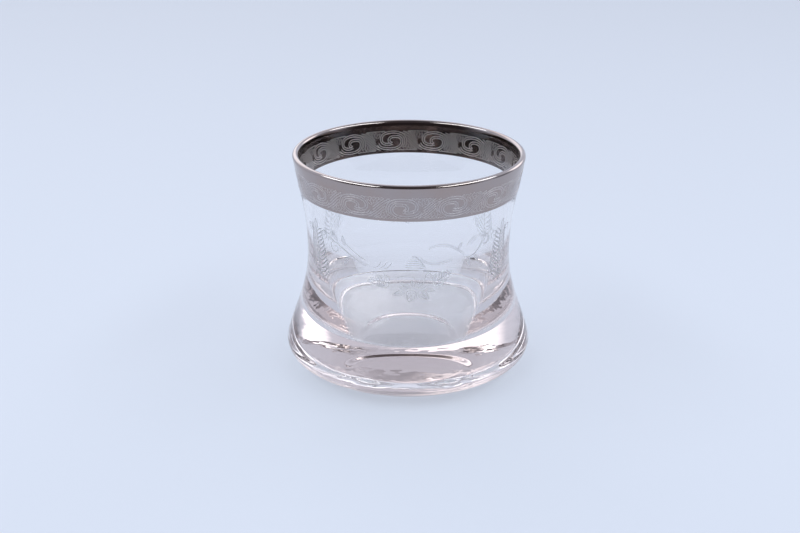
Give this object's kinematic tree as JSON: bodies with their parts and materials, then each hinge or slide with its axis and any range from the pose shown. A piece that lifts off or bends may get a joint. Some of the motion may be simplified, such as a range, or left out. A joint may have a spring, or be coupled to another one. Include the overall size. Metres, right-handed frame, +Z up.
{
  "type": "whisky tumbler",
  "caption": "Waisted whisky tumbler in thick-based clear glass, with a flared rim and an etched platinum band of scrolling leaves.",
  "frame": {"origin": "middle of the foot ring, on the surface that the tumbler stands on", "axes": "+Z up along the axis that every piece is turned about"},
  "size_m": [0.094, 0.094, 0.0821],
  "materials": {
    "clear_glass": "polished colourless glass",
    "polished_platinum": "fired-on platinum, polished",
    "etched_platinum": "fired-on platinum over an etched leaf scroll, satin"
  },
  "bodies": {
    "root": {"glass_body": "clear_glass", "platinum_rim": "polished_platinum", "platinum_frieze": "etched_platinum", "platinum_border": "polished_platinum"}
  },
  "joints": []
}
